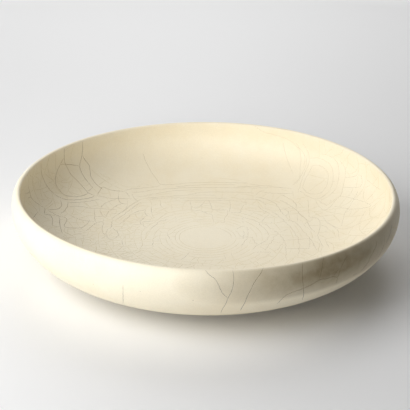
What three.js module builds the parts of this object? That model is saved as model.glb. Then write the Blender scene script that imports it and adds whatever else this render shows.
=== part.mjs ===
// A wide, low ceramic dish: a thrown clay body, the foot ring luted under it, and the crackle coat over it.
// Millimetres, +Z up. The origin is on the ground, at the centre of the foot.
// Every piece is round about Z, so each one is a section turned about that axis.
import * as THREE from "three";

// The form from outside.
const RIM_HEIGHT = 77.5; // from the ground to the crest of the lip
const BELLY_RADIUS = 200; // at the widest level
const BELLY_DROP = 14.8; // from the crest down to the widest level
const LIP_DRAW_IN = 6.8; // how far the crest lies inside the widest level
const LIP_ROUND = 2; // radius of the lip's inner edge
const HEEL_WIDTH = 78; // radial width of the outside's rise from the flat underside

// The wall and the floor, with the coat on them.
const WALL_THICKNESS = 8; // at the widest level
const FLOOR_THICKNESS = 11; // above the clay's flat underside
const SWEEP_WIDTH = 80; // radial width of the inside's rise from the flat floor

// The foot ring.
const FOOT_HEIGHT = 7;
const FOOT_WIDTH = 12; // where it meets the clay body
const FOOT_SETBACK = 25; // from the end of the flat underside in to the ring
const FOOT_TAPER = 1.5; // how far each side leans in towards the ground
const FOOT_ROUND = 1.5; // radius of the two edges that stand on the ground

// The crackle coat.
const COAT_THICKNESS = 0.8;
const COAT_GAP = 0.3; // between the curved faces of the coat and of the clay, which are two solids
const BARE_BAND = 12; // clay left bare round the foot ring

// Finishes.
const CLAY_FINISH = { color: "#d9c9aa", roughness: 0.85, metalness: 0 };
const COAT_FINISH = { color: "#e7ddc4", roughness: 0.5, metalness: 0 };

// Facets: steps round the axis, and steps along each stretch of a section.
const TURN_STEPS = 72;
const SWEEP_STEPS = 8;
const SHOULDER_STEPS = 4;
const LIP_STEPS = 3;
const NECK_STEPS = 3;
const FOOT_EDGE_STEPS = 2;

// The clay's surface lies this far below the finished one.
const CLAY_DEPTH = COAT_THICKNESS + COAT_GAP;

// Radii of the vessel, from its centre out.
const HOLLOW_RADIUS = BELLY_RADIUS - WALL_THICKNESS;
const FLOOR_RADIUS = HOLLOW_RADIUS - SWEEP_WIDTH;
const HEEL_RADIUS = BELLY_RADIUS - HEEL_WIDTH;
const CREST_RADIUS = BELLY_RADIUS - LIP_DRAW_IN;
const MOUTH_RADIUS = CREST_RADIUS - LIP_ROUND;
const FOOT_RADIUS = HEEL_RADIUS - FOOT_SETBACK;
const COAT_EDGE_RADIUS = FOOT_RADIUS + BARE_BAND;

// Levels of the vessel, above its own flat underside, which is where it seats on the foot ring.
const CREST_LEVEL = RIM_HEIGHT - FOOT_HEIGHT;
const BELLY_LEVEL = CREST_LEVEL - BELLY_DROP;
const LIP_LEVEL = CREST_LEVEL - LIP_ROUND;

// Directions from the centre of a curve, in the plane of a section. IN is half a turn from OUT either way.
const DOWN = -Math.PI / 2;
const OUT = 0;
const UP = Math.PI / 2;
const IN = Math.PI;

const point = (radius, level) => new THREE.Vector2(radius, level);

// A quarter of an ellipse round a centre, from one direction to the next.
function quarter(centre, width, height, from, to, steps) {
  const clockwise = to < from;
  return new THREE.EllipseCurve(centre.x, centre.y, width, height, from, to, clockwise).getPoints(steps);
}

// A curve from the upper point to the lower one that leaves and arrives upright.
function easedDrop(upper, lower, steps) {
  const middle = (upper.y + lower.y) / 2;
  const curve = new THREE.CubicBezierCurve(upper, point(upper.x, middle), point(lower.x, middle), lower);
  return curve.getPoints(steps);
}

// The vessel's section at one depth below the finished surface: from the coat's lower edge up the outside,
// over the lip, and down the inside to the axis. The outside shrinks with the depth, and the hollow grows.
function surfaceAt(depth) {
  const heel = quarter(point(HEEL_RADIUS, BELLY_LEVEL), HEEL_WIDTH - depth,
    BELLY_LEVEL + CLAY_DEPTH - depth, DOWN, OUT, SWEEP_STEPS);
  const shoulder = quarter(point(CREST_RADIUS, BELLY_LEVEL), LIP_DRAW_IN - depth,
    BELLY_DROP - depth, OUT, UP, SHOULDER_STEPS);
  const lip = quarter(point(CREST_RADIUS, LIP_LEVEL), LIP_ROUND - depth,
    LIP_ROUND - depth, UP, IN, LIP_STEPS);
  const neck = easedDrop(point(MOUTH_RADIUS + depth, LIP_LEVEL),
    point(HOLLOW_RADIUS + depth, BELLY_LEVEL), NECK_STEPS);
  const sweep = quarter(point(FLOOR_RADIUS, BELLY_LEVEL), SWEEP_WIDTH + depth,
    BELLY_LEVEL - FLOOR_THICKNESS + depth, OUT, DOWN, SWEEP_STEPS);
  return [
    point(COAT_EDGE_RADIUS, depth - CLAY_DEPTH),
    ...heel,
    ...shoulder.slice(1),
    ...lip.slice(1),
    ...neck.slice(1),
    ...sweep.slice(1),
    point(0, FLOOR_THICKNESS - depth),
  ];
}

// A named piece: its section turned about the axis. The section runs anticlockwise round the solid, so that
// the faces point out of it.
function turned(name, section, finish) {
  const geometry = new THREE.LatheGeometry(section, TURN_STEPS).rotateX(Math.PI / 2);
  const mesh = new THREE.Mesh(geometry, new THREE.MeshStandardMaterial(finish));
  mesh.name = name;
  return mesh;
}

function clayBody() {
  const section = [point(0, 0), ...surfaceAt(CLAY_DEPTH)];
  return turned("clay_body", section, CLAY_FINISH);
}

function glazeCoat() {
  const section = [...surfaceAt(COAT_THICKNESS).reverse(), ...surfaceAt(0)];
  return turned("glaze_coat", section, COAT_FINISH);
}

function footRing() {
  const outer = FOOT_RADIUS - FOOT_TAPER;
  const inner = FOOT_RADIUS - FOOT_WIDTH + FOOT_TAPER;
  const innerEdge = quarter(point(inner + FOOT_ROUND, FOOT_ROUND), FOOT_ROUND, FOOT_ROUND,
    -IN, DOWN, FOOT_EDGE_STEPS);
  const outerEdge = quarter(point(outer - FOOT_ROUND, FOOT_ROUND), FOOT_ROUND, FOOT_ROUND,
    DOWN, OUT, FOOT_EDGE_STEPS);
  const top = point(FOOT_RADIUS - FOOT_WIDTH, FOOT_HEIGHT);
  const section = [top, ...innerEdge, ...outerEdge, point(FOOT_RADIUS, FOOT_HEIGHT), top];
  return turned("foot_ring", section, CLAY_FINISH);
}

const vessel = new THREE.Group();
vessel.position.z = FOOT_HEIGHT;
vessel.add(clayBody(), glazeCoat());

const dish = new THREE.Group();
dish.add(footRing(), vessel);

export default dish;
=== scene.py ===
# %% [markdown]
# A wide, low ceramic dish with a crackle coat. The dish is thrown in one piece of clay, a foot ring is
# luted under it, and a cream coat is fused over the inside, the lip and the outside. The coat shrank more
# than the clay as it cooled, so it is full of hairline cracks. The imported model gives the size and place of
# every piece. This lesson makes their fine surfaces and finishes.

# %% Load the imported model
import bisect
import math
import random

import bmesh
import bpy
from mathutils import Matrix, Vector, noise
from mathutils.bvhtree import BVHTree


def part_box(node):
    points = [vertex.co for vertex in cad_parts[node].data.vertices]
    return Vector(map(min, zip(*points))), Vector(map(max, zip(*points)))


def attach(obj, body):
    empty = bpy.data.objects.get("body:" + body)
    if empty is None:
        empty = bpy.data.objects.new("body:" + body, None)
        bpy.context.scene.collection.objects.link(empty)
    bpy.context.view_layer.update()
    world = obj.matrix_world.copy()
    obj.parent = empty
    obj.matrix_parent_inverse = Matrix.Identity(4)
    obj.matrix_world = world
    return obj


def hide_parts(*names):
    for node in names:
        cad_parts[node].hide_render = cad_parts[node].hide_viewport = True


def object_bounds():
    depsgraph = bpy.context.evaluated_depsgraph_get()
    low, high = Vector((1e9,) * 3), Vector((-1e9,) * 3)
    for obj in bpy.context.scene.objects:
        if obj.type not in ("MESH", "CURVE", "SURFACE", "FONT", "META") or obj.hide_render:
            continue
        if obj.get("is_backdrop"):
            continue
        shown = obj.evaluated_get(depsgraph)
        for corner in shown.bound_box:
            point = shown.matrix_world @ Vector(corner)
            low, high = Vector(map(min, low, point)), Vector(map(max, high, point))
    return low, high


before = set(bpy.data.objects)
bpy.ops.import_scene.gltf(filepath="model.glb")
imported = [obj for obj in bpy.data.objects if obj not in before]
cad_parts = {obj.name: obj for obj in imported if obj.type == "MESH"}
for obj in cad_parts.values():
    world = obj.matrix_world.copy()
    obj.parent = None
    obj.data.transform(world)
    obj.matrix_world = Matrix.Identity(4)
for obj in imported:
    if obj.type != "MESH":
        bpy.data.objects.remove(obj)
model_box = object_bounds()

print("nodes:", sorted(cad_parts))

# %% [markdown]
# Sizes. The frame gives the widest radius, the rim's height and the foot ring. The other sizes describe the
# section of the dish and are the same as in the model, here in metres.

# %% Sizes of the dish
_, coat_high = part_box("glaze_coat")
_, foot_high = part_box("foot_ring")

BELLY_RADIUS = coat_high.x
RIM_HEIGHT = coat_high.z
FOOT_HEIGHT = foot_high.z
FOOT_RADIUS = foot_high.x

BELLY_DROP = 0.0148
LIP_DRAW_IN = 0.0068
LIP_ROUND = 0.002
HEEL_WIDTH = 0.078
WALL_THICKNESS = 0.008
FLOOR_THICKNESS = 0.011
SWEEP_WIDTH = 0.080
COAT_THICKNESS = 0.0008
COAT_GAP = 0.0003
BARE_BAND = 0.012
FOOT_WIDTH = 0.012
FOOT_TAPER = 0.0015

CLAY_DEPTH = COAT_THICKNESS + COAT_GAP
BELLY_LEVEL = RIM_HEIGHT - BELLY_DROP
LIP_LEVEL = RIM_HEIGHT - LIP_ROUND
FLOOR_LEVEL = FOOT_HEIGHT + FLOOR_THICKNESS
HOLLOW_RADIUS = BELLY_RADIUS - WALL_THICKNESS
FLOOR_RADIUS = HOLLOW_RADIUS - SWEEP_WIDTH
HEEL_RADIUS = BELLY_RADIUS - HEEL_WIDTH
CREST_RADIUS = BELLY_RADIUS - LIP_DRAW_IN
MOUTH_RADIUS = CREST_RADIUS - LIP_ROUND
COAT_EDGE_RADIUS = FOOT_RADIUS + BARE_BAND
print(f"dish: {2000 * BELLY_RADIUS:.0f} mm wide, {1000 * RIM_HEIGHT:.1f} mm high")

# %% [markdown]
# The camera. It stands in front of the dish and looks down at it, as the photograph does. It comes first
# because the cracks that the photograph shows are placed by looking through it.

# %% Camera
IMAGE_SIDE = 410
FOCAL_PIXELS = 1252.7
SENSOR_WIDTH = 36.0
EYE = Vector((0.0, -1.1966, 0.5795))
PITCH_DOWN = 0.4127
YAW = -0.0006
ROLL = 0.0094


def camera_axes():
    """The directions to the right of the camera, above it and behind it."""
    ahead = Vector((math.sin(YAW), math.cos(YAW), 0.0))
    forward = math.cos(PITCH_DOWN) * ahead + Vector((0.0, 0.0, -math.sin(PITCH_DOWN)))
    right = Vector((math.cos(YAW), -math.sin(YAW), 0.0))
    level = Matrix((right, right.cross(forward), -forward)).transposed()
    return level @ Matrix.Rotation(ROLL, 3, "Z")


def make_camera():
    data = bpy.data.cameras.new("studio_camera")
    data.sensor_width = SENSOR_WIDTH
    data.lens = FOCAL_PIXELS / IMAGE_SIDE * SENSOR_WIDTH
    camera = bpy.data.objects.new("studio_camera", data)
    camera.matrix_world = Matrix.Translation(EYE) @ camera_axes().to_4x4()
    bpy.context.scene.collection.objects.link(camera)
    bpy.context.scene.camera = camera
    return camera


camera = make_camera()
print(f"camera: {camera.data.lens:.1f} mm lens, {math.degrees(PITCH_DOWN):.1f} degrees down")

# %% [markdown]
# The section. A pot is round about one axis, so its whole shape is one line drawn from the middle of the
# floor, out and up the inside, over the lip and down the outside. Arcs give it, and the same line moved
# inwards by the coat's thickness gives the hidden side of the coat and the surface of the clay.

# %% The section of the dish
FLOOR_STEPS = 28
SWEEP_STEPS = 60
NECK_STEPS = 12
LIP_STEPS = 8
SHOULDER_STEPS = 20
HEEL_STEPS = 48
EDGE_STEPS = 5


def arc(centre, width, height, start, end, steps):
    """Points of an ellipse round a centre, from one direction to another, in degrees."""
    angles = [math.radians(start + (end - start) * i / steps) for i in range(steps + 1)]
    return [Vector((centre[0] + width * math.cos(a), centre[1] + height * math.sin(a))) for a in angles]


def straight(start, end, steps):
    return [Vector(start).lerp(Vector(end), i / steps) for i in range(steps + 1)]


def eased_rise(lower, upper, steps):
    """A curve between two points that leaves and arrives upright."""
    middle = (lower[1] + upper[1]) / 2
    handles = (Vector(lower), Vector((lower[0], middle)), Vector((upper[0], middle)), Vector(upper))
    points = []
    for i in range(steps + 1):
        t = i / steps
        weights = ((1 - t) ** 3, 3 * t * (1 - t) ** 2, 3 * t * t * (1 - t), t**3)
        points.append(sum((w * h for w, h in zip(weights, handles)), Vector((0.0, 0.0))))
    return points


def section(depth, detail=1.0):
    """The dish's section at one depth under its surface, from the middle of the floor to the coat's edge."""
    floor_level = FLOOR_LEVEL - depth
    under_level = FOOT_HEIGHT + depth - CLAY_DEPTH
    deep, high = BELLY_LEVEL - floor_level, BELLY_LEVEL - under_level
    counts = (FLOOR_STEPS, SWEEP_STEPS, NECK_STEPS, LIP_STEPS, SHOULDER_STEPS, HEEL_STEPS, EDGE_STEPS)
    steps = [max(2, round(count * detail)) for count in counts]
    stretches = (
        straight((0.0, floor_level), (FLOOR_RADIUS, floor_level), steps[0]),
        arc((FLOOR_RADIUS, BELLY_LEVEL), SWEEP_WIDTH + depth, deep, -90, 0, steps[1]),
        eased_rise((HOLLOW_RADIUS + depth, BELLY_LEVEL), (MOUTH_RADIUS + depth, LIP_LEVEL), steps[2]),
        arc((CREST_RADIUS, LIP_LEVEL), LIP_ROUND - depth, LIP_ROUND - depth, 180, 90, steps[3]),
        arc((CREST_RADIUS, BELLY_LEVEL), LIP_DRAW_IN - depth, BELLY_DROP - depth, 90, 0, steps[4]),
        arc((HEEL_RADIUS, BELLY_LEVEL), HEEL_WIDTH - depth, high, 0, -90, steps[5]),
        straight((HEEL_RADIUS, under_level), (COAT_EDGE_RADIUS, under_level), steps[6]),
    )
    points = list(stretches[0])
    for stretch in stretches[1:]:
        points += stretch[1:]
    return points


print("section:", len(section(0.0)), "points")

# %% [markdown]
# The hand. A thrown dish is never perfectly round or level. In the photograph the rim is an oval, a
# millimetre out of round, and it leans and twists by as much. One smooth function moves each point of the
# dish, and every piece goes through it, so the pieces still fit each other. It fades out towards the foot,
# which stands flat.

# %% The maker's hand
OVAL = 0.00095
OVAL_BEARING = 2.288
LEAN = 0.00063
LEAN_BEARING = 2.96
TWIST = 0.00126
TWIST_BEARING = 0.72


def by_hand(point):
    """A point of the true form, moved to where the maker's hand left it."""
    turn = math.atan2(point.y, point.x)
    height = max(0.0, point.z) / RIM_HEIGHT
    share = math.hypot(point.x, point.y) / BELLY_RADIUS
    outward = share * height * OVAL * math.cos(2 * (turn - OVAL_BEARING))
    lift = LEAN * math.cos(turn - LEAN_BEARING) + TWIST * math.cos(2 * (turn - TWIST_BEARING))
    return point + Vector((outward * math.cos(turn), outward * math.sin(turn), share * height**2 * lift))


# %% [markdown]
# Turning a section. A spin sweeps the section round the axis. Points on the axis itself come back once for
# every step, so doubles are merged, which also closes the pole in the middle of the floor.

# %% Turning a section into a piece
TURN_STEPS = 320
SHARP_ANGLE = math.radians(38)
MERGE_DISTANCE = 1e-6


def turned(points, steps=TURN_STEPS):
    """A bmesh of a section turned about the axis."""
    bm = bmesh.new()
    verts = [bm.verts.new((p.x, 0.0, p.y)) for p in points]
    edges = [bm.edges.new(pair) for pair in zip(verts, verts[1:])]
    bmesh.ops.spin(bm, geom=verts + edges, cent=(0, 0, 0), axis=(0, 0, 1), dvec=(0, 0, 0), angle=math.tau,
                   steps=steps, use_merge=True, use_normal_flip=False, use_duplicate=False)
    bmesh.ops.remove_doubles(bm, verts=bm.verts, dist=MERGE_DISTANCE)
    bmesh.ops.recalc_face_normals(bm, faces=bm.faces)
    return bm


def finished_piece(name, bm, material):
    """Makes the object, smooth but for its true edges, and lets it ride with the dish."""
    mesh = bpy.data.meshes.new(name)
    bm.to_mesh(mesh)
    bm.free()
    mesh.shade_smooth()
    mesh.set_sharp_from_angle(angle=SHARP_ANGLE)
    mesh.materials.append(material)
    piece = bpy.data.objects.new(name, mesh)
    bpy.context.scene.collection.objects.link(piece)
    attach(piece, "root")
    triangles = sum(len(face.vertices) - 2 for face in mesh.polygons)
    print(f"{name}: {triangles} triangles")
    return piece


# %% [markdown]
# The finish of the coat. It is a satin cream, a little warmer in some places than in others, with a faint
# mottle, a fine grain, a few iron specks that came up from the clay, and a brown stain on the outside under
# the right of the lip, darkened further with painted shade.
# Everything reads Object coordinates, so the pattern lies still on the dish, and its scales are real sizes.

# %% Helpers for materials
def new_material(name):
    material = bpy.data.materials.new(name)
    material.use_nodes = True
    nodes = material.node_tree.nodes
    nodes.clear()
    output = nodes.new("ShaderNodeOutputMaterial")
    shader = nodes.new("ShaderNodeBsdfPrincipled")
    material.node_tree.links.new(shader.outputs["BSDF"], output.inputs["Surface"])
    return material, nodes, material.node_tree.links, shader


def noise_of_size(nodes, links, where, size, detail=2.0, roughness=0.5):
    """A noise whose patches are about the given size across, in metres."""
    texture = nodes.new("ShaderNodeTexNoise")
    texture.inputs["Scale"].default_value = 1.0 / size
    texture.inputs["Detail"].default_value = detail
    texture.inputs["Roughness"].default_value = roughness
    links.new(where, texture.inputs["Vector"])
    return texture.outputs["Fac"]


def spread(nodes, links, value, low, high, to_low, to_high):
    """Maps a value from one span to another, held at both ends."""
    node = nodes.new("ShaderNodeMapRange")
    node.inputs["From Min"].default_value = low
    node.inputs["From Max"].default_value = high
    node.inputs["To Min"].default_value = to_low
    node.inputs["To Max"].default_value = to_high
    links.new(value, node.inputs["Value"])
    return node.outputs["Result"]


def mixed(nodes, links, factor, first, second, blend="MIX"):
    """Mixes two colours, each a colour or a socket, by a factor, a number or a socket."""
    node = nodes.new("ShaderNodeMix")
    node.data_type = "RGBA"
    node.blend_type = blend
    for name, value in (("Factor", factor), ("A", first), ("B", second)):
        socket = node.inputs[name]
        if isinstance(value, bpy.types.NodeSocket):
            links.new(value, socket)
        elif isinstance(value, (int, float)):
            socket.default_value = value
        else:
            socket.default_value = (*value, 1.0)
    return node.outputs["Result"]


def joined(nodes, links, operation, first, second):
    """One step of arithmetic on two values, each a number or a socket."""
    node = nodes.new("ShaderNodeMath")
    node.operation = operation
    for socket, value in zip(node.inputs, (first, second)):
        if isinstance(value, bpy.types.NodeSocket):
            links.new(value, socket)
        else:
            socket.default_value = value
    return node.outputs["Value"]


def radius_of(nodes, links, where):
    """The distance of a spot from the dish's axis."""
    flat = nodes.new("ShaderNodeVectorMath")
    flat.operation = "MULTIPLY"
    flat.inputs[1].default_value = (1.0, 1.0, 0.0)
    links.new(where, flat.inputs[0])
    radius = nodes.new("ShaderNodeVectorMath")
    radius.operation = "LENGTH"
    links.new(flat.outputs["Vector"], radius.inputs[0])
    return radius.outputs["Value"]


# %% The coat's finish
CREAM = (0.885, 0.81, 0.635)
CREAM_WARM = (0.865, 0.775, 0.585)
CREAM_PALE = (0.90, 0.835, 0.675)
SPECK = (0.20, 0.13, 0.07)
# The tint below darkens the outside under the right of the lip. It is partly a real brown stain and partly
# painted shade.
STAIN_AND_SHADE_TINT = (0.29, 0.25, 0.17)
STAIN_AND_SHADE_PLACE = (0.119, -0.156, 0.064)
STAIN_AND_SHADE_REACH = (0.155, 0.19, 0.034)
STAIN_AND_SHADE_CLOUD_SIZE = 0.014
OUTSIDE_FROM, OUTSIDE_FULL = 0.1938, 0.1966
CLOUD_SIZE = 0.11
MOTTLE_SIZE = 0.018
GRAIN_SIZE = 0.0011
RIPPLE_SIZE = 0.006
SPECK_SPACING = 0.016
COAT_IOR = 1.48
COAT_BUMP = 0.18
COAT_BUMP_DEPTH = 0.0002


def stained_and_shaded(nodes, links, where, colour):
    """The colour with a cloudy brown stain and painted shade, under the lip on the right and on the outside
    only.
    """
    offset = nodes.new("ShaderNodeVectorMath")
    offset.operation = "SUBTRACT"
    offset.inputs[1].default_value = STAIN_AND_SHADE_PLACE
    links.new(where, offset.inputs[0])
    share = nodes.new("ShaderNodeVectorMath")
    share.operation = "DIVIDE"
    share.inputs[1].default_value = STAIN_AND_SHADE_REACH
    links.new(offset.outputs["Vector"], share.inputs[0])
    reach = nodes.new("ShaderNodeVectorMath")
    reach.operation = "LENGTH"
    links.new(share.outputs["Vector"], reach.inputs[0])
    patch = spread(nodes, links, reach.outputs["Value"], 0.15, 1.0, 1.0, 0.0)
    outside = spread(nodes, links, radius_of(nodes, links, where), OUTSIDE_FROM, OUTSIDE_FULL, 0.0, 1.0)
    clouds = noise_of_size(nodes, links, where, STAIN_AND_SHADE_CLOUD_SIZE, 4.0, 0.6)
    cloudy = spread(nodes, links, clouds, 0.35, 0.62, 0.86, 1.0)
    strength = joined(nodes, links, "MULTIPLY", joined(nodes, links, "MULTIPLY", patch, outside), cloudy)
    return mixed(nodes, links, strength, colour, STAIN_AND_SHADE_TINT, "MULTIPLY")


def coat_material():
    material, nodes, links, shader = new_material("crackle_coat")
    where = nodes.new("ShaderNodeTexCoord").outputs["Object"]
    clouds = noise_of_size(nodes, links, where, CLOUD_SIZE, 3.0)
    mottle = noise_of_size(nodes, links, where, MOTTLE_SIZE, 4.0, 0.6)
    grain = noise_of_size(nodes, links, where, GRAIN_SIZE, 2.0)
    colour = mixed(nodes, links, spread(nodes, links, clouds, 0.36, 0.64, 0.0, 1.0), CREAM, CREAM_WARM)
    colour = mixed(nodes, links, spread(nodes, links, mottle, 0.4, 0.7, 0.0, 0.55), colour, CREAM_PALE)
    # A brown stain under the right of the lip, partly painted shade.
    colour = stained_and_shaded(nodes, links, where, colour)
    tone = spread(nodes, links, grain, 0.3, 0.7, 0.965, 1.03)
    shaded = nodes.new("ShaderNodeHueSaturation")
    links.new(tone, shaded.inputs["Value"])
    links.new(colour, shaded.inputs["Color"])
    specks = nodes.new("ShaderNodeTexVoronoi")
    specks.inputs["Scale"].default_value = 1.0 / SPECK_SPACING
    links.new(where, specks.inputs["Vector"])
    dot = spread(nodes, links, specks.outputs["Distance"], 0.014, 0.028, 0.75, 0.0)
    links.new(mixed(nodes, links, dot, shaded.outputs["Color"], SPECK), shader.inputs["Base Color"])
    shine = joined(nodes, links, "ADD", spread(nodes, links, mottle, 0.3, 0.7, 0.50, 0.60),
                   spread(nodes, links, grain, 0.3, 0.7, -0.03, 0.04))
    links.new(shine, shader.inputs["Roughness"])
    shader.inputs["IOR"].default_value = COAT_IOR
    bump = nodes.new("ShaderNodeBump")
    bump.inputs["Strength"].default_value = COAT_BUMP
    bump.inputs["Distance"].default_value = COAT_BUMP_DEPTH
    ripple = noise_of_size(nodes, links, where, RIPPLE_SIZE, 2.0)
    height = joined(nodes, links, "ADD", ripple, joined(nodes, links, "MULTIPLY", grain, 0.35))
    links.new(height, bump.inputs["Height"])
    links.new(bump.outputs["Normal"], shader.inputs["Normal"])
    return material


COAT = coat_material()

# %% [markdown]
# The crackle coat. It is one closed shell: the finished surface, the cut edge round the foot, and the
# hidden side that lies on the clay. The hidden side is never seen, so it has fewer rings. The cut edge was
# wiped with a sponge, which leaves it softly rounded.

# %% The crackle coat
HIDDEN_DETAIL = 0.35
WIPED_STEPS = 6


def coat_section():
    outside = section(0.0)
    inside = section(COAT_THICKNESS, HIDDEN_DETAIL)
    outer_end, inner_end = outside[-1], inside[-1]
    thickness = inner_end.y - outer_end.y
    wiped = arc((outer_end.x, outer_end.y + thickness / 2), thickness / 2, thickness / 2, 270, 90,
                WIPED_STEPS)
    return outside[:-1] + wiped + inside[::-1][1:]


coat_bmesh = turned(coat_section())
for vert in coat_bmesh.verts:
    vert.co = by_hand(vert.co)
coat_surface = BVHTree.FromBMesh(coat_bmesh)
coat = finished_piece("crackle_coat", coat_bmesh, COAT)
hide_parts("glaze_coat")

# %% [markdown]
# Bare fired clay. It shows only under the dish, round the foot. It is a warm sandy buff with dark and light
# grains, and the turning tool left fine rings in it. The rings are a noise of the distance from the axis.

# %% The clay's finish
CLAY_BUFF = (0.60, 0.47, 0.32)
CLAY_TOASTED = (0.50, 0.35, 0.21)
CLAY_SAND = (0.71, 0.62, 0.48)
CLAY_IRON = (0.16, 0.10, 0.06)
CLAY_CLOUD_SIZE = 0.04
SAND_SIZE = 0.0009
IRON_SPACING = 0.0045
TOOL_RING_SPACING = 0.0016
CLAY_BUMP = 0.6
CLAY_BUMP_DEPTH = 0.0004


def clay_material():
    material, nodes, links, shader = new_material("bare_clay")
    where = nodes.new("ShaderNodeTexCoord").outputs["Object"]
    clouds = noise_of_size(nodes, links, where, CLAY_CLOUD_SIZE, 3.0)
    sand = noise_of_size(nodes, links, where, SAND_SIZE, 3.0, 0.6)
    colour = mixed(nodes, links, spread(nodes, links, clouds, 0.35, 0.65, 0.0, 1.0), CLAY_BUFF, CLAY_TOASTED)
    colour = mixed(nodes, links, spread(nodes, links, sand, 0.52, 0.7, 0.0, 0.6), colour, CLAY_SAND)
    specks = nodes.new("ShaderNodeTexVoronoi")
    specks.inputs["Scale"].default_value = 1.0 / IRON_SPACING
    links.new(where, specks.inputs["Vector"])
    dot = spread(nodes, links, specks.outputs["Distance"], 0.08, 0.14, 0.8, 0.0)
    links.new(mixed(nodes, links, dot, colour, CLAY_IRON), shader.inputs["Base Color"])
    rings = nodes.new("ShaderNodeTexNoise")
    rings.noise_dimensions = "1D"
    rings.inputs["Scale"].default_value = 1.0 / TOOL_RING_SPACING
    rings.inputs["Detail"].default_value = 3.0
    links.new(radius_of(nodes, links, where), rings.inputs["W"])
    bump = nodes.new("ShaderNodeBump")
    bump.inputs["Strength"].default_value = CLAY_BUMP
    bump.inputs["Distance"].default_value = CLAY_BUMP_DEPTH
    links.new(joined(nodes, links, "ADD", rings.outputs["Fac"], joined(nodes, links, "MULTIPLY", sand, 0.8)),
              bump.inputs["Height"])
    links.new(bump.outputs["Normal"], shader.inputs["Normal"])
    links.new(spread(nodes, links, sand, 0.3, 0.7, 0.78, 0.92), shader.inputs["Roughness"])
    return material


CLAY = clay_material()

# %% [markdown]
# The clay body and its foot ring. The clay body has the same section as the coat, deeper by the coat and
# its gap, and closes flat across the underside. The foot ring is turned from a short section of its own,
# with the edge that stands on the table worn round.

# %% The clay body
CLAY_DETAIL = 0.6
CLAY_TURN_STEPS = 256
UNDERSIDE_STEPS = 40

clay_section = section(CLAY_DEPTH, CLAY_DETAIL)
clay_section += straight(clay_section[-1], (0.0, FOOT_HEIGHT), UNDERSIDE_STEPS)[1:]
clay_bmesh = turned(clay_section, CLAY_TURN_STEPS)
for vert in clay_bmesh.verts:
    vert.co = by_hand(vert.co)
clay_body = finished_piece("thrown_clay_body", clay_bmesh, CLAY)
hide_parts("clay_body")

# %% The foot ring
FOOT_ROUND = 0.0015
FOOT_ROUND_STEPS = 6
FOOT_SIDE_STEPS = 6


def foot_section():
    outer = FOOT_RADIUS - FOOT_TAPER
    inner = FOOT_RADIUS - FOOT_WIDTH + FOOT_TAPER
    inner_edge = arc((inner + FOOT_ROUND, FOOT_ROUND), FOOT_ROUND, FOOT_ROUND, 180, 270, FOOT_ROUND_STEPS)
    outer_edge = arc((outer - FOOT_ROUND, FOOT_ROUND), FOOT_ROUND, FOOT_ROUND, 270, 360, FOOT_ROUND_STEPS)
    top_inner = Vector((FOOT_RADIUS - FOOT_WIDTH, FOOT_HEIGHT))
    top_outer = Vector((FOOT_RADIUS, FOOT_HEIGHT))
    down = straight(top_inner, inner_edge[0], FOOT_SIDE_STEPS)
    up = straight(outer_edge[-1], top_outer, FOOT_SIDE_STEPS)
    ground = straight(inner_edge[-1], outer_edge[0], FOOT_SIDE_STEPS)
    return down + inner_edge[1:] + ground[1:-1] + outer_edge + up[1:] + [top_inner]


foot_bmesh = turned(foot_section(), CLAY_TURN_STEPS)
for vert in foot_bmesh.verts:
    vert.co = by_hand(vert.co)
foot = finished_piece("trimmed_foot_ring", foot_bmesh, CLAY)
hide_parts("foot_ring")

# %% [markdown]
# The crackle. Each crack is a real line on the coat, so it is modelled as one: a strip a few tenths of a
# millimetre wide that follows the surface. A texture would be too coarse for lines as fine as these. To
# draw on a bowl, it helps to have it flat. A place on the coat is given by its distance along the section
# from the middle of the floor, and by its bearing round the axis.

# %% Places on the coat
SKIN_DETAIL = 2.0
skin = section(0.0, SKIN_DETAIL)
skin_lengths = [0.0]
for inner, outer in zip(skin, skin[1:]):
    skin_lengths.append(skin_lengths[-1] + (outer - inner).length)
CREST_DISTANCE = max(zip(skin, skin_lengths), key=lambda pair: pair[0].y)[1]
EDGE_DISTANCE = skin_lengths[-1]


def on_skin(distance, bearing):
    """The spot at a place on the coat, and the direction straight out of the coat there."""
    distance = min(max(distance, 0.0), EDGE_DISTANCE)
    after = min(max(bisect.bisect_left(skin_lengths, distance), 1), len(skin) - 1)
    start, end = skin[after - 1], skin[after]
    share = (distance - skin_lengths[after - 1]) / (skin_lengths[after] - skin_lengths[after - 1])
    spot, along = start.lerp(end, share), (end - start).normalized()
    out, turn = Vector((math.cos(bearing), math.sin(bearing), 0.0)), Vector((0.0, 0.0, 1.0))
    return spot.x * out + spot.y * turn, -along.y * out + along.x * turn


def place_of(spot):
    """The distance along the section and the bearing of a spot on the finished coat."""
    true = 2 * spot - by_hand(spot)
    flat = Vector((math.hypot(true.x, true.y), true.z))
    nearest = min(range(len(skin)), key=lambda i: (skin[i] - flat).length_squared)
    return skin_lengths[nearest], math.atan2(true.y, true.x)


print(f"from the middle to the crest {1000 * CREST_DISTANCE:.0f} mm")
print(f"from the middle to the coat's edge {1000 * EDGE_DISTANCE:.0f} mm")
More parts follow.
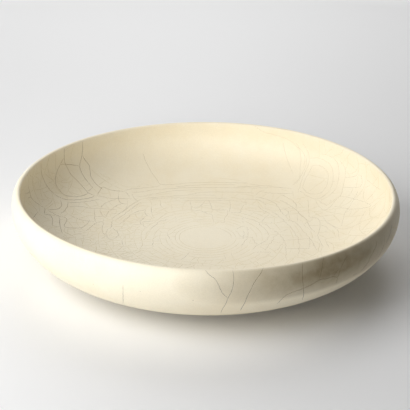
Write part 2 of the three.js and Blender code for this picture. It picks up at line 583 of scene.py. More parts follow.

# %% [markdown]
# The cracks that can be told apart in the photograph were read from it, as pixels. Each is a few
# points with a smooth curve through them. The camera's ray through a pixel says where on the coat it lies.

# %% Cracks read from the photograph, in pixels
LEFT_WALL_CRACKS = (
    ((64.3, 147), (64.3, 157), (65, 163), (68, 169), (71, 174.5), (77, 180.5), (84, 188), (88.5, 193),
     (95, 195.5)),
    ((63.5, 158), (62, 161), (60, 164.5)),
    ((60, 164.5), (66, 164.3), (73, 165), (79.5, 166)),
    ((60, 164.5), (58, 169), (56.3, 174), (55.5, 179), (56.2, 185), (59, 189.5), (64, 194.5), (70, 196.3),
     (78, 196.5), (84, 195.3), (88.5, 193)),
    ((82.5, 142), (82.7, 150), (82, 154), (81, 160), (79.7, 166), (81, 171), (83.5, 176), (87, 181),
     (93, 188)),
    ((82.3, 155), (85, 160), (89, 165), (90, 170), (90.7, 176.5), (93, 180), (95, 183), (99, 186.5),
     (103, 189.5)),
    ((87.5, 191.5), (90.5, 189.5), (93, 187)),
    ((97, 196), (99, 192), (100.5, 189), (103, 187), (108, 189), (114, 190.5), (124, 191.5)),
    ((41, 163), (41.3, 171), (42.3, 176), (45, 182.5), (48.5, 188), (52, 192), (56.5, 195.5), (61, 198),
     (66, 199.5), (74, 200), (84, 199), (91, 197.5), (95, 195.5)),
    ((60.5, 199.5), (61.5, 205), (60, 208), (56, 209.3), (47, 209.3)),
    ((27, 198.5), (31, 196.5)),
    ((30, 193), (31.5, 198), (36, 202.5), (41, 206), (44.7, 208.3), (44.8, 214), (50, 215), (52.5, 219.5),
     (53, 225.5), (60, 226.7)),
    ((25, 193.5), (29.5, 192), (28.5, 188), (28.5, 184)),
    ((38, 212), (33, 218)),
    ((47, 210), (52, 212.5), (57, 215.5), (62, 216.5)),
    ((60, 214), (64, 211), (66.5, 208), (68, 205), (67.5, 201.3)),
    ((58, 216), (59.7, 220), (60.2, 227), (61.5, 231), (63.5, 234)),
    ((62, 216.5), (66, 218), (67, 221), (64.5, 226.5), (74, 228), (84, 227.3)),
)
LEFT_FLOOR_CRACKS = (
    ((67.8, 202.3), (76, 202.5), (86, 201.7), (93, 200.3), (99, 199.3)),
    ((68, 206.3), (77, 206.3), (84, 207), (91, 208.3), (100, 208.5), (110, 209.3), (117, 209.5)),
    ((97, 195.5), (104, 197), (113, 198.5), (122, 198.5), (132, 199)),
    ((94, 208.7), (94.7, 216), (94.7, 222)),
    ((94.7, 216.5), (104, 216.5)),
    ((100, 208.5), (101, 213), (104.5, 217), (108, 212.5), (112, 209), (117, 205.5), (123, 203.5)),
    ((100, 208.5), (104, 204), (110, 201), (116, 199.3)),
    ((103.5, 219), (102.7, 226), (102.5, 231), (105, 236), (101, 239)),
    ((111.7, 217), (111.7, 226), (107.5, 230), (106.5, 236), (110, 239), (116, 238), (118, 233),
     (113, 228)),
    ((69, 214.5), (76, 218), (84, 220.5), (94, 221.5)),
    ((80, 229), (85, 225.5), (89, 222), (89, 219)),
    ((83, 232), (87, 230), (92, 226), (96, 223), (103, 221)),
    ((112, 219), (118, 215), (124, 211), (130, 206), (135, 202.5), (140, 200.5)),
    ((114, 221), (121, 216.5), (128, 211.5), (135, 206), (141, 202)),
    ((120, 224.5), (127, 218.5), (130, 215.5), (137, 212), (145, 209.5)),
    ((118.5, 193.5), (118.7, 199), (121, 203), (127, 204), (128, 201)),
    ((111, 213), (119, 213.5), (125, 209.5), (128, 205)),
    ((125, 191.5), (128.5, 195), (129.5, 197.5)),
    ((132, 194), (134, 198), (138, 201.5)),
    ((134, 224.5), (141, 224.5), (140, 221), (144, 218.5), (136, 219.5)),
    ((142, 221.5), (152, 221.3)),
    ((143, 222), (144, 226), (147, 228)),
    ((145, 209), (146, 215), (151, 216.5)),
    ((151.5, 206), (151.5, 214)),
    ((150, 230), (154, 226), (160, 221.5), (168, 219)),
    ((153.5, 240), (153, 247)),
    ((122.5, 240), (123, 246)),
)
BACK_CRACKS = (
    ((143, 153), (146, 162), (152, 173), (157, 179.5), (161, 184.3), (176, 184.3)),
    ((161, 184.5), (157, 186.5), (148, 187.5), (137, 188.5), (128, 189.5), (124, 191.5)),
    ((176, 184), (185, 183.3), (195, 182.5), (215, 182.5), (248, 183)),
    ((176, 186.5), (190, 185.5), (208, 184.5), (235, 184.5)),
    ((132, 192.5), (144, 191.5), (155, 189.5), (165, 189), (178, 188), (195, 187.5), (215, 187.5),
     (258, 188)),
    ((144, 195.5), (155, 193.7), (164, 192.5), (172, 191), (190, 190), (200, 189.7)),
    ((136, 196.5), (144, 196.5), (152, 195.5)),
    ((188, 194.5), (195, 193.5), (200, 192.5), (215, 192), (240, 192.3), (253, 193)),
    ((145, 198), (155, 197.3), (167, 196.5), (180, 195.5), (190, 195), (215, 195.3)),
    ((147, 200), (155, 198.7), (170, 198), (195, 198), (228, 198.3)),
    ((183, 201), (190, 200.5), (205, 201), (229, 200.3), (238, 201.3)),
    ((237, 186.5), (256, 186.5), (262, 188), (272, 187), (291, 188.5)),
    ((250, 184), (260, 185.5), (272, 186)),
    ((256, 195), (259, 192), (264, 190.5)),
    ((262, 192), (270, 193), (280, 193.5), (292, 193.5)),
    ((280, 194), (288, 198), (293, 200.5), (297, 206)),
    ((256, 197), (264, 198.5), (270, 200.5), (275, 203.5), (279, 208), (282, 213), (287, 216)),
    ((240, 199), (256, 199.5), (262, 202), (266, 205)),
    ((280, 200), (286, 203), (291, 206), (296, 210), (303, 217), (309, 221)),
    ((293, 191), (293, 198)),
)
MIDDLE_CRACKS = (
    ((190.3, 201), (191, 206), (192.5, 210.5), (200, 210.5), (206, 213), (212, 215), (213, 219),
     (213.5, 223)),
    ((209, 200), (211, 205), (212, 209.5)),
    ((205, 201), (201, 205.5), (197, 207), (191, 207)),
    ((212, 209.5), (218, 210), (226, 210)),
    ((229.5, 200), (230.5, 206), (229.5, 211), (231, 212.5), (240, 212.5), (241, 210), (243, 206),
     (247, 203), (240, 201)),
    ((227, 210.5), (227.5, 214.5), (225, 217.5), (224.3, 222.5)),
    ((214, 222), (225, 222)),
    ((193, 220), (204, 220)),
    ((176, 216), (176, 222)),
    ((172, 204), (172, 210)),
    ((160, 200), (161, 206), (164, 208.5), (168, 207.5)),
    ((246, 227), (248, 230), (248, 234), (247, 238), (244, 243), (241, 247)),
    ((243.5, 231), (243.5, 239)),
    ((240, 236), (244, 237), (252, 237.5), (254, 241), (257, 245)),
    ((236, 229), (241, 227), (245, 226)),
    ((167, 232), (168, 236), (171, 240)),
    ((190, 252), (185, 257), (180, 260)),
    ((224, 255), (226, 260)),
    ((231, 252), (233, 258)),
)
RIGHT_FLOOR_CRACKS = (
    ((243.3, 223), (243.3, 217.5), (250, 219), (256, 221), (262, 226), (266, 231), (268.5, 236), (267, 240),
     (260, 244), (252, 249)),
    ((258, 205), (259, 207.5), (264, 211), (269, 214), (264, 218.5), (261, 222)),
    ((262, 223), (268, 226), (274, 230.5), (280, 235), (284, 240), (286, 248), (286.3, 260)),
    ((271, 212), (276, 214), (280, 217), (285, 221.5), (289, 225.5), (293, 229), (295.5, 233), (297.5, 238),
     (299.3, 243), (299.3, 248), (298, 256)),
    ((290, 219), (296, 223.5), (300, 227), (304, 232), (308, 236), (311, 240), (314, 245), (316, 250)),
    ((280, 210), (284, 209), (289, 212.5), (286, 216)),
    ((296, 203), (296, 209)),
    ((299, 214.5), (303, 216), (307, 221), (309, 225), (311, 229), (315, 231.5)),
    ((312, 217), (312, 220), (308, 222), (304, 225), (309, 229)),
    ((297.5, 215.5), (296.5, 222)),
    ((308, 200), (308.5, 206), (308.7, 213), (310, 217), (318, 218.5), (320, 223), (320, 229), (318, 234),
     (318.5, 238), (321, 243), (323, 247)),
    ((323, 217), (327, 222), (331, 225), (335, 228), (338, 231), (339, 240)),
    ((320, 225), (325, 226), (329, 230)),
    ((287, 240), (299, 239.5), (310, 239.3), (309.5, 249)),
    ((286, 248.5), (309, 248.5)),
    ((325, 239), (327, 244), (330, 248)),
    ((264, 250), (268, 246), (272, 241), (275, 236), (279, 234)),
    ((280, 232), (286, 230), (290, 229)),
    ((275, 251), (279, 248), (281, 245), (284, 242)),
    ((256, 252), (271, 252.3)),
)
RIGHT_WALL_CRACKS = (
    ((257, 128), (265, 132.5), (272, 134), (280, 136.5), (286, 138.5), (292, 142), (297, 147), (300, 152),
     (301, 160), (300, 168), (300, 176), (297, 181), (293, 185)),
    ((296, 143), (300, 149), (304, 154), (305, 160), (303, 168)),
    ((303, 144), (307, 150), (309, 156), (309, 163), (306, 170), (303, 177), (300, 186), (298, 193)),
    ((307, 155), (306, 165), (303, 172), (299, 180), (296, 184)),
    ((283, 143), (285, 152), (288, 162), (291, 169), (293, 173)),
    ((312, 166), (318, 165), (325, 169), (328, 174), (328, 181), (326, 187), (322, 192), (316, 194),
     (308, 193), (303, 188), (305, 180), (309, 173), (312, 166)),
    ((310, 158), (318, 158), (327, 162), (332, 168), (333, 178), (331, 188), (326, 194), (318, 199),
     (309, 197), (300, 191)),
    ((322, 154), (330, 156), (337, 162), (339, 172), (338, 182), (335, 190), (330, 195)),
    ((340, 161), (345, 168), (345, 178), (343, 186), (341, 195), (335, 201), (330, 207), (324, 210),
     (318, 205), (316, 200)),
    ((318, 200.5), (322, 203), (326, 205), (328, 205), (331, 200)),
    ((343.5, 187.3), (356, 187.3), (361, 186), (362, 180), (360, 175), (352, 177), (345, 178)),
    ((338, 196), (347, 197), (354, 199), (365, 202), (371, 206), (364, 208), (350, 209), (334, 206)),
    ((358, 191), (354, 199), (350, 206), (345, 213), (343, 220), (341, 226)),
    ((367, 180), (372, 184), (378, 188), (381, 190)),
    ((366, 211), (362, 217), (359, 224)),
    ((333, 226), (342, 229), (352, 227), (360, 223)),
)
OUTSIDE_CRACKS = (
    ((204.5, 269), (207, 272.5), (211, 276), (215, 279), (218, 284), (220.5, 289.5), (223, 294),
     (227.5, 298)),
    ((232.3, 268), (233.3, 274), (233.7, 279), (233, 286), (231, 292.5), (228, 298), (226, 303), (223, 308),
     (220.5, 313)),
    ((264, 266), (261.5, 272), (258, 277), (254, 283), (251, 289), (247.5, 296), (245, 302), (240, 311)),
    ((302.5, 261), (302.3, 270), (302.7, 280), (303.4, 288), (303.5, 295), (302.3, 300)),
    ((277, 304), (285, 296), (292, 292.5), (303, 288.5), (312, 284.5), (318, 280.5), (326, 278.5),
     (333, 276.3), (338, 276.5), (340, 270), (344, 261.5), (348, 255)),
    ((324, 256), (322.5, 264), (321.5, 271), (319.5, 279)),
    ((334, 275.5), (337, 271), (340.5, 268)),
    ((338, 276.5), (336, 284)),
    ((377, 240), (376, 246), (373, 252), (370, 258), (367, 264), (361, 271)),
    ((385, 236), (384, 244), (381, 252), (377, 259)),
    ((392, 224), (390, 234), (386, 243)),
    ((353, 275), (357, 273)),
    ((123, 285), (123, 303)),
)

# %% Casting the cracks onto the coat
PIXELS_PER_STEP = 1.3
BREAK_DISTANCE = 0.014


def smooth_through(points, spacing):
    """A smooth curve through flat points, as closely spaced points."""
    corners = [Vector(p) for p in points]
    corners = [2 * corners[0] - corners[1], *corners, 2 * corners[-1] - corners[-2]]
    curve = []
    for a, b, c, d in zip(corners, corners[1:], corners[2:], corners[3:]):
        steps = max(1, round((c - b).length / spacing))
        for i in range(steps):
            t = i / steps
            bend = (-a + 3 * b - 3 * c + d) * t**3 + (2 * a - 5 * b + 4 * c - d) * t**2 + (c - a) * t
            curve.append(b + bend / 2)
    return curve + [corners[-2]]


def seen_at(pixel):
    """The spot on the coat that the camera sees at a pixel of the photograph, or None past its edge."""
    middle = IMAGE_SIDE / 2
    ray = camera_axes() @ Vector((pixel.x - middle, middle - pixel.y, -FOCAL_PIXELS))
    return coat_surface.ray_cast(EYE, ray.normalized())[0]


def cast_crack(pixels):
    """A crack read from the photograph, as places on the coat. It breaks where it would leap over the lip."""
    parts, last = [[]], None
    for pixel in smooth_through(pixels, PIXELS_PER_STEP):
        spot = seen_at(pixel)
        if spot is None or (last is not None and (spot - last).length > BREAK_DISTANCE):
            parts.append([])
        if spot is not None:
            parts[-1].append(place_of(spot))
        last = spot
    return [part for part in parts if len(part) > 1]


# Each group's width, as a share of the boldest crack's.
BOLDNESS = (
    (LEFT_WALL_CRACKS, 0.72), (LEFT_FLOOR_CRACKS, 0.48), (BACK_CRACKS, 0.35), (MIDDLE_CRACKS, 0.33),
    (RIGHT_FLOOR_CRACKS, 0.28), (RIGHT_WALL_CRACKS, 0.22),
)
OUTSIDE_BOLDNESS = 0.6
cracks = [(part, bold) for group, bold in BOLDNESS for pixels in group for part in cast_crack(pixels)]
outside_cracks = [(part, OUTSIDE_BOLDNESS) for pixels in OUTSIDE_CRACKS for part in cast_crack(pixels)]
print("cracks from the photograph:", len(cracks), "inside and", len(outside_cracks), "outside")

# %% [markdown]
# Between those cracks lie hundreds that the eye can't tell apart. They are grown the way crackle grows. The
# coat is under tension everywhere, and a cell that is still too big splits: a new crack runs both ways from
# a spot in the cell until it meets another crack. It takes the short way across, so the cells stay compact
# and the meetings are square. The growth runs on flat maps of the coat, cut into small squares that know if
# a crack is there.

# %% Flat maps of the coat
CELL = 0.0005
STRIDE = 0.00075


class FlatMap:
    """One side of the coat laid flat. Its cells are full where a crack passes and past the coat's edges."""

    def __init__(self, low, high, wraps):
        self.low, self.wraps = low, wraps
        self.wide = round((high[0] - low[0]) / CELL)
        self.high = round((high[1] - low[1]) / CELL)
        self.cells = bytearray(self.wide * self.high)

    def full(self, x, y):
        column, row = int((x - self.low[0]) / CELL), int((y - self.low[1]) / CELL)
        if self.wraps:
            column %= self.wide
        if not (0 <= column < self.wide and 0 < row < self.high - 1):
            return True
        return self.cells[row * self.wide + column] != 0

    def mark(self, x, y):
        """Fills the cell at a point and the eight round it."""
        column, row = int((x - self.low[0]) / CELL), int((y - self.low[1]) / CELL)
        for near_row in range(max(0, row - 1), min(self.high, row + 2)):
            for near_column in (column - 1, column, column + 1):
                if self.wraps:
                    near_column %= self.wide
                if 0 <= near_column < self.wide:
                    self.cells[near_row * self.wide + near_column] = 1

    def mark_line(self, points):
        for (x0, y0), (x1, y1) in zip(points, points[1:]):
            steps = max(1, int(math.hypot(x1 - x0, y1 - y0) / CELL))
            for i in range(steps + 1):
                self.mark(x0 + (x1 - x0) * i / steps, y0 + (y1 - y0) * i / steps)


inner_map = FlatMap((-CREST_DISTANCE, -CREST_DISTANCE), (CREST_DISTANCE, CREST_DISTANCE), wraps=False)
for row in range(inner_map.high):
    y = inner_map.low[1] + (row + 0.5) * CELL
    half_cells = int(math.sqrt(max(0.0, CREST_DISTANCE**2 - y * y)) / CELL)
    past_rim = inner_map.wide // 2 - half_cells
    if past_rim > 0:
        inner_map.cells[row * inner_map.wide:row * inner_map.wide + past_rim] = b"\x01" * past_rim
        inner_map.cells[(row + 1) * inner_map.wide - past_rim:(row + 1) * inner_map.wide] = b"\x01" * past_rim
outer_map = FlatMap((0.0, 0.0), (math.tau * BELLY_RADIUS, EDGE_DISTANCE - CREST_DISTANCE), wraps=True)


def laid_flat(places):
    """Places on the coat as points of the flat map that they lie on, with that map."""
    if places[0][0] < CREST_DISTANCE:
        return inner_map, [(s * math.cos(turn), s * math.sin(turn)) for s, turn in places]
    return outer_map, [(BELLY_RADIUS * (turn % math.tau), s - CREST_DISTANCE) for s, turn in places]


def put_back(flat_map, points):
    """Points of a flat map as places on the coat."""
    if flat_map is inner_map:
        return [(math.hypot(x, y), math.atan2(y, x)) for x, y in points]
    return [(CREST_DISTANCE + y, x / BELLY_RADIUS) for x, y in points]


for part, bold in cracks + outside_cracks:
    flat_map, points = laid_flat(part)
    flat_map.mark_line(points)
print("flat maps:", inner_map.wide, "x", inner_map.high, "and", outer_map.wide, "x", outer_map.high, "cells")

# %% [markdown]
# Rings. In the middle of the floor the coat pulled outwards evenly, as it does on any round pot, so the
# cracks there run round the middle, one outside the other, and short ones cross from ring to ring like
# rungs. Each ring wavers, has gaps, and stops short of the cracks that are there already. Further out the
# gaps are longer.

# %% Rings round the middle
FIRST_RING = 0.0277
FIRST_SPACING = 0.0045
SPACING_GROWTH = 1.08
LAST_RING = 0.150
RING_WAVER = 0.02
RING_CLEARANCE = 0.0018
SHORTEST_ARC = 0.007
WAVES_ROUND = 2.5
GAP_SIZE = 0.02
GAP_ABOVE = 0.32
GAPPIER_OUTWARDS = 0.42
OTHER_NOISE = 40


def ring_arcs(radius, phase):
    """The pieces of one wavering ring that have room on the inner map."""
    arcs = [[]]
    steps = int(math.tau * radius / STRIDE)
    gappy = (radius - FIRST_RING) / (LAST_RING - FIRST_RING)
    for i in range(steps + 1):
        turn = math.tau * i / steps
        x, y = math.cos(turn), math.sin(turn)
        wave = noise.noise(Vector((WAVES_ROUND * x, WAVES_ROUND * y, phase)))
        wavering = radius * (1 + RING_WAVER * wave)
        patch = noise.noise(Vector((x * radius / GAP_SIZE, y * radius / GAP_SIZE, phase + OTHER_NOISE)))
        gap = patch > GAP_ABOVE - GAPPIER_OUTWARDS * gappy
        near = (wavering - RING_CLEARANCE, wavering, wavering + RING_CLEARANCE)
        if gap or any(inner_map.full(r * x, r * y) for r in near):
            arcs.append([])
        else:
            arcs[-1].append((wavering * x, wavering * y))
    return [arc for arc in arcs if len(arc) * STRIDE > SHORTEST_ARC]


ring_cracks = []
radius, spacing = FIRST_RING, FIRST_SPACING
while radius < LAST_RING:
    ring_cracks += ring_arcs(radius, 10.0 * len(ring_cracks))
    radius += spacing
    spacing *= SPACING_GROWTH
for points in ring_cracks:
    inner_map.mark_line(points)
print("pieces of rings:", len(ring_cracks))

# %% [markdown]
# How large the cells are differs from place to place. On the left of the floor they are as small as a grain
# of rice, on the right as large as a thumbnail. The middle of the floor and the back of the wall hardly
# cracked.

# %% How large the cells are
UNCRACKED = 0.08
INNER_CELLS = (
    # bearing in degrees, distance in metres, cell size in metres
    (0, 0.0, UNCRACKED), (90, 0.012, UNCRACKED), (210, 0.012, UNCRACKED), (330, 0.012, UNCRACKED),
    (180, 0.045, 0.0091), (90, 0.05, 0.0096), (0, 0.05, 0.012), (270, 0.05, 0.0098), (225, 0.05, 0.0084),
    (180, 0.09, 0.0063), (150, 0.10, 0.007), (205, 0.10, 0.0063), (235, 0.09, 0.0084), (120, 0.09, 0.0098),
    (90, 0.09, 0.0108), (60, 0.09, 0.012), (30, 0.09, 0.0132), (0, 0.09, 0.0132), (330, 0.09, 0.012),
    (300, 0.09, 0.0108), (270, 0.09, 0.0105),
    (180, 0.14, 0.0077), (160, 0.14, 0.0091), (205, 0.14, 0.0084), (230, 0.14, 0.0096), (30, 0.135, 0.012),
    (0, 0.14, 0.0144), (330, 0.14, 0.0144), (300, 0.14, 0.013), (265, 0.14, 0.0132),
    (60, 0.13, 0.013), (90, 0.125, 0.0144), (120, 0.13, 0.0132), (135, 0.15, 0.0108),
    (180, 0.19, 0.0132), (155, 0.19, 0.0096), (205, 0.19, 0.0144), (240, 0.19, 0.016), (280, 0.19, 0.018),
    (315, 0.19, 0.016), (345, 0.19, 0.015), (15, 0.19, 0.015), (35, 0.185, 0.0144),
    (62, 0.17, UNCRACKED), (80, 0.165, UNCRACKED), (95, 0.16, UNCRACKED), (110, 0.165, UNCRACKED),
    (122, 0.175, UNCRACKED), (62, 0.21, UNCRACKED), (80, 0.20, UNCRACKED), (95, 0.20, UNCRACKED),
    (110, 0.20, UNCRACKED), (125, 0.21, UNCRACKED), (150, 0.22, 0.02), (180, 0.22, 0.022), (210, 0.22, 0.025),
    (250, 0.22, 0.03), (290, 0.22, 0.03), (330, 0.22, 0.028), (10, 0.22, 0.025), (40, 0.22, 0.025),
)
OUTER_CELLS = (
    (60, 0.05, 0.034), (110, 0.05, 0.040), (160, 0.05, 0.034), (20, 0.05, 0.030), (190, 0.06, UNCRACKED),
    (225, 0.05, UNCRACKED), (245, 0.05, UNCRACKED), (265, 0.05, UNCRACKED), (285, 0.05, UNCRACKED),
    (305, 0.05, UNCRACKED), (325, 0.05, UNCRACKED), (345, 0.04, 0.030),
)
FALLOFF = 3


def cell_sizes(flat_map, sizes):
    """A function that blends the listed sizes over a flat map, the nearest counting most."""
    knots = []
    for bearing, distance, size in sizes:
        if flat_map is inner_map:
            spot = laid_flat([(distance, math.radians(bearing))])[1][0]
        else:
            spot = (BELLY_RADIUS * math.radians(bearing), distance)
        knots.append((*spot, size))

    def size_at(x, y):
        total = weights = 0.0
        for knot_x, knot_y, size in knots:
            across = abs(x - knot_x)
            if flat_map.wraps:
                across = min(across, math.tau * BELLY_RADIUS - across)
            weight = 1.0 / (across * across + (y - knot_y) ** 2 + 1e-6) ** FALLOFF
            total += weight * size
            weights += weight
        return total / weights

    return size_at


# %% Growing the fine crackle
PROBES = 8
LOOK_AHEAD = 0.06
SPLIT_ABOVE = 1.25
SWERVE = 0.16
BEND = 0.035
WANDER = 0.11
CLEAR_SIZE = 0.045
INNER_TRIES = 60000
OUTER_TRIES = 6000
DICE_SEED = 12


def room(flat_map, x, y, heading):
    """How far a straight line can run from a point before a crack stops it."""
    step_x, step_y = STRIDE * math.cos(heading), STRIDE * math.sin(heading)
    for i in range(int(LOOK_AHEAD / STRIDE)):
        x += step_x
        y += step_y
        if flat_map.full(x, y):
            return (i + 1) * STRIDE
    return LOOK_AHEAD


def run_from(flat_map, x, y, heading, bend, size_at):
    """A crack's points from a spot until another crack or the end of the tension stops it."""
    points = []
    for i in range(int(2 * LOOK_AHEAD / STRIDE)):
        x += STRIDE * math.cos(heading)
        y += STRIDE * math.sin(heading)
        heading += bend * math.cos(WANDER * i)
        points.append((x, y))
        if flat_map.full(x, y) or size_at(x, y) > CLEAR_SIZE:
            break
    return points


def grow(flat_map, sizes, tries, dice):
    """Splits the cells of a flat map that are larger than they should be. Returns the new cracks."""
    size_at = cell_sizes(flat_map, sizes)
    grown = []
    for _ in range(tries):
        x = flat_map.low[0] + dice.random() * flat_map.wide * CELL
        y = flat_map.low[1] + dice.random() * flat_map.high * CELL
        if flat_map.full(x, y):
            continue
        size = size_at(x, y)
        if size > CLEAR_SIZE:
            continue
        reach = [room(flat_map, x, y, math.pi * i / PROBES) for i in range(2 * PROBES)]
        spans = [reach[i] + reach[i + PROBES] for i in range(PROBES)]
        if sum(spans) / PROBES < SPLIT_ABOVE * size:
            continue
        heading = math.pi * spans.index(min(spans)) / PROBES + dice.gauss(0, SWERVE)
        bend = dice.gauss(0, BEND)
        ahead = run_from(flat_map, x, y, heading, bend, size_at)
        behind = run_from(flat_map, x, y, heading + math.pi, -bend, size_at)
        points = behind[::-1] + [(x, y)] + ahead
        flat_map.mark_line(points)
        grown.append((put_back(flat_map, points), size))
    return grown


dice = random.Random(DICE_SEED)
grown_inside = grow(inner_map, INNER_CELLS, INNER_TRIES, dice)
grown_outside = grow(outer_map, OUTER_CELLS, OUTER_TRIES, dice)
print("grown cracks:", len(grown_inside), "inside and", len(grown_outside), "outside")

# %% [markdown]
# A crack becomes a strip. Its points make a chain of edges along one side of it, one extrude draws the
# chain across to the other side, and a Solidify modifier makes it a thin closed slab. The strip stands a
# few hundredths of a millimetre proud, so that the coat's own facets never swallow it, and thins out where
# the crack ends.

# %% Strips
LIFT = 0.00004
STRIP_THICKNESS = 0.00012
NARROWEST = 0.00004
TIP_POINTS = 3
TIP_START = 0.6
THIN_OUT = 3
UNEVEN = 0.5
UNEVEN_STEP = 0.35


def strip_path(places, half_width, dice):
    """Points of a strip: where it is, the direction out of the coat, and its half width there."""
    path = []
    phase = dice.random() * 100
    for i, (distance, bearing) in enumerate(places):
        from_end = min(i, len(places) - 1 - i)
        spot, outward = on_skin(distance, bearing)
        uneven = 1.0 + UNEVEN * noise.noise(Vector((phase, i * UNEVEN_STEP, 0.0)))
        taper = min(1.0, (from_end + TIP_START) / TIP_POINTS)
        path.append((by_hand(spot), outward, max(NARROWEST, half_width * uneven * taper)))
    return path


def thinned(points):
    """Every third point of a grown crack, and its two ends."""
    return points[:-1:THIN_OUT] + [points[-1]]


def strips(paths):
    """A bmesh of strips that lie along paths on the coat."""
    bm = bmesh.new()
    across = bm.verts.layers.float_vector.new("across")
    out = bm.verts.layers.float_vector.new("out")
    edges = []
    for path in paths:
        verts = []
        for i, (spot, outward, half_width) in enumerate(path):
            along = path[min(i + 1, len(path) - 1)][0] - path[max(i - 1, 0)][0]
            side = outward.cross(along).normalized() * half_width
            vert = bm.verts.new(spot + LIFT * outward - side)
            vert[across], vert[out] = 2 * side, outward
            verts.append(vert)
        edges += [bm.edges.new(pair) for pair in zip(verts, verts[1:])]
    drawn = bmesh.ops.extrude_edge_only(bm, edges=edges)["geom"]
    for vert in drawn:
        if isinstance(vert, bmesh.types.BMVert):
            vert.co += vert[across]
    bm.normal_update()
    inside_out = [face for face in bm.faces if face.normal.dot(face.verts[0][out]) < 0]
    bmesh.ops.reverse_faces(bm, faces=inside_out)
    return bm


# %% [markdown]
# The cracks' finish. A crack shows because dirt has worked into it. The wide ones are brown and the fine
# ones are tan. Those on the outside, where the dish is handled, are the darkest. There is hardly any blue
# in them, because a line as thin as these mixes with the cream round it, and a neutral one would look blue
# beside it.

# %% The cracks' finish
CRACK_DARK = (0.20, 0.135, 0.02)
CRACK_BROWN = (0.37, 0.26, 0.05)
DIRTY_CRACK_DARK = (0.07, 0.05, 0.02)
DIRTY_CRACK_BROWN = (0.15, 0.105, 0.035)
FINE_CRACK_DARK = (0.46, 0.36, 0.12)
FINE_CRACK_TAN = (0.64, 0.53, 0.24)
STAIN_SIZE = 0.03
GRIT_SIZE = 0.0015


def crack_material(name, dark, light):
    material, nodes, links, shader = new_material(name)
    where = nodes.new("ShaderNodeTexCoord").outputs["Object"]
    stain = noise_of_size(nodes, links, where, STAIN_SIZE, 3.0)
    grit = noise_of_size(nodes, links, where, GRIT_SIZE, 2.0)
    colour = mixed(nodes, links, spread(nodes, links, stain, 0.38, 0.62, 0.0, 1.0), dark, light)
    colour = mixed(nodes, links, spread(nodes, links, grit, 0.4, 0.7, 0.0, 0.4), colour, light)
    links.new(colour, shader.inputs["Base Color"])
    links.new(spread(nodes, links, grit, 0.3, 0.7, 0.6, 0.8), shader.inputs["Roughness"])
    return material


STAINED_CRACK = crack_material("stained_crack", CRACK_DARK, CRACK_BROWN)
DIRTY_CRACK = crack_material("dirty_crack", DIRTY_CRACK_DARK, DIRTY_CRACK_BROWN)
FINE_CRACK = crack_material("fine_crack", FINE_CRACK_DARK, FINE_CRACK_TAN)

# %% The cracks
BOLD_HALF_WIDTH = 0.00022
FINE_HALF_WIDTH = 0.00008
OUTER_HALF_WIDTH = 0.000104
RING_HALF_WIDTH = 0.000085
DENSE_CELLS = 0.0105
LEAST_SHARE = 0.2
SPECK_LENGTH = 0.0007
SPECK_HALF_WIDTH = 0.0004
SPECK_STEPS = 4
SPECKS = ((193, 300), (297, 273.5), (333.7, 270), (322, 282.7), (158, 240), (96.5, 242))


def crack_piece(name, paths, material):
    piece = finished_piece(name, strips(paths), material)
    slab = piece.modifiers.new("slab", "SOLIDIFY")
    slab.thickness = STRIP_THICKNESS
    slab.offset = -1


def fine_half_width(size):
    """The fine cracks are widest where the cells are smallest."""
    return FINE_HALF_WIDTH * (LEAST_SHARE + DENSE_CELLS / size)


def speck(pixel):
    """A speck of iron in the coat, as a very short strip."""
    distance, bearing = place_of(seen_at(Vector(pixel)))
    return [(distance + SPECK_LENGTH * (i / SPECK_STEPS - 0.5), bearing) for i in range(SPECK_STEPS + 1)]


main_paths = [strip_path(part, bold * BOLD_HALF_WIDTH, dice) for part, bold in cracks]
crack_piece("main_cracks", main_paths, STAINED_CRACK)
dirty_paths = [strip_path(part, bold * BOLD_HALF_WIDTH, dice) for part, bold in outside_cracks]
dirty_paths += [strip_path(speck(pixel), SPECK_HALF_WIDTH, dice) for pixel in SPECKS]
crack_piece("outside_cracks_and_specks", dirty_paths, DIRTY_CRACK)
fine_paths = [strip_path(thinned(part), fine_half_width(size), dice) for part, size in grown_inside]
fine_paths += [strip_path(thinned(put_back(inner_map, arc)), RING_HALF_WIDTH, dice) for arc in ring_cracks]
crack_piece("fine_cracks_inside", fine_paths, FINE_CRACK)
outer_paths = [strip_path(thinned(part), OUTER_HALF_WIDTH, dice) for part, _ in grown_outside]
crack_piece("fine_cracks_outside", outer_paths, FINE_CRACK)

# %% [markdown]
# The studio. A pale seamless floor runs past the picture on all sides and rises a little far away, so that
# no dark horizon shows from the sides. The panels light only the middle of it, so the far part glows weakly
# by itself. The light is one large soft panel from the left, with weaker panels round it. A small weak
# panel with a narrow beam stands low in front, and lifts the shade on the back and the left of the inside.

# %% The floor
FLOOR_FLAT = 5.0
FLOOR_RISE = 0.9
RISE_LENGTH = 3.0
RISE_STEPS = 16
FLOOR_TURN_STEPS = 96
FLOOR_PALE = (0.86, 0.86, 0.86)
FLOOR_ROUGHNESS = 0.6
GLOW_FROM, GLOW_FULL = 1.08, 2.0
GLOW = 0.6


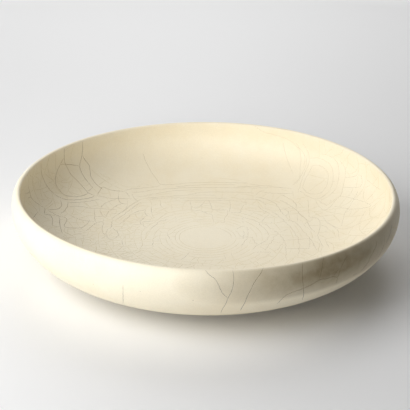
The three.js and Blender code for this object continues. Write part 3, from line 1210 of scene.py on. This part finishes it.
def studio_floor():
    profile = straight((0.0, 0.0), (FLOOR_FLAT, 0.0), 1)
    profile += arc((FLOOR_FLAT, FLOOR_RISE), RISE_LENGTH, FLOOR_RISE, -90, 0, RISE_STEPS)[1:]
    bm = turned(profile, FLOOR_TURN_STEPS)
    mesh = bpy.data.meshes.new("studio_floor")
    bm.to_mesh(mesh)
    bm.free()
    mesh.shade_smooth()
    material, nodes, links, shader = new_material("studio_floor")
    shader.inputs["Base Color"].default_value = (*FLOOR_PALE, 1.0)
    shader.inputs["Roughness"].default_value = FLOOR_ROUGHNESS
    shader.inputs["Emission Color"].default_value = (1.0, 1.0, 1.0, 1.0)
    where = nodes.new("ShaderNodeTexCoord").outputs["Object"]
    glow = spread(nodes, links, radius_of(nodes, links, where), GLOW_FROM, GLOW_FULL, 0.0, GLOW)
    links.new(glow, shader.inputs["Emission Strength"])
    mesh.materials.append(material)
    floor = bpy.data.objects.new("studio_floor", mesh)
    bpy.context.scene.collection.objects.link(floor)
    floor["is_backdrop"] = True


studio_floor()

# %% The lights
AIM = Vector((0.0, 0.0, 0.03))
BACKDROP_AIM = Vector((-0.40, 1.0, 0.0))
INSIDE_AIM = Vector((-0.045, 0.18, 0.05))
WIDE = 180


def panel(name, azimuth, elevation, distance, side, power, aim=AIM, beam=WIDE):
    """A square soft panel that faces its aim, the dish at first. Azimuth 0 is in front, 90 to the right."""
    data = bpy.data.lights.new(name, "AREA")
    data.shape = "SQUARE"
    data.size = side
    data.energy = power
    data.spread = math.radians(beam)
    light = bpy.data.objects.new(name, data)
    turn, rise = math.radians(azimuth), math.radians(elevation)
    away = Vector((math.sin(turn) * math.cos(rise), -math.cos(turn) * math.cos(rise), math.sin(rise)))
    light.location = aim + distance * away
    light.rotation_euler = away.to_track_quat("Z", "Y").to_euler()
    light.visible_camera = False
    bpy.context.scene.collection.objects.link(light)


panel("key_panel", -66, 30, 1.3, 1.2, 14.15)
panel("front_panel", -44, 40, 1.1, 1.0, 4.0)
panel("back_panel", 175, 38, 1.5, 1.2, 9.45)
panel("backdrop_panel", -105, 40, 0.8, 0.7, 2.75, BACKDROP_AIM)
panel("inside_panel", 0, 17, 1.2, 0.3, 0.078, INSIDE_AIM, beam=20)

AIR_STRENGTH = 0.07
world = bpy.data.worlds.new("studio_air")
world.use_nodes = True
world.node_tree.nodes["Background"].inputs["Color"].default_value = (1.0, 1.0, 1.0, 1.0)
world.node_tree.nodes["Background"].inputs["Strength"].default_value = AIR_STRENGTH
bpy.context.scene.world = world

# %% [markdown]
# Colour management. The colours are shown as they are, without a film look, so the cream stays the cream
# that was chosen. After that, the sizes of the model and of the dressed dish are printed side by side.

# %% Colour management
bpy.context.scene.view_settings.view_transform = "Standard"
bpy.context.scene.view_settings.look = "None"

# %% Sizes, and the end
visual_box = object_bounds()
for title, box in (("model", model_box), ("visual", visual_box)):
    print(title, "size:", [[round(v, 4) for v in corner] for corner in box])
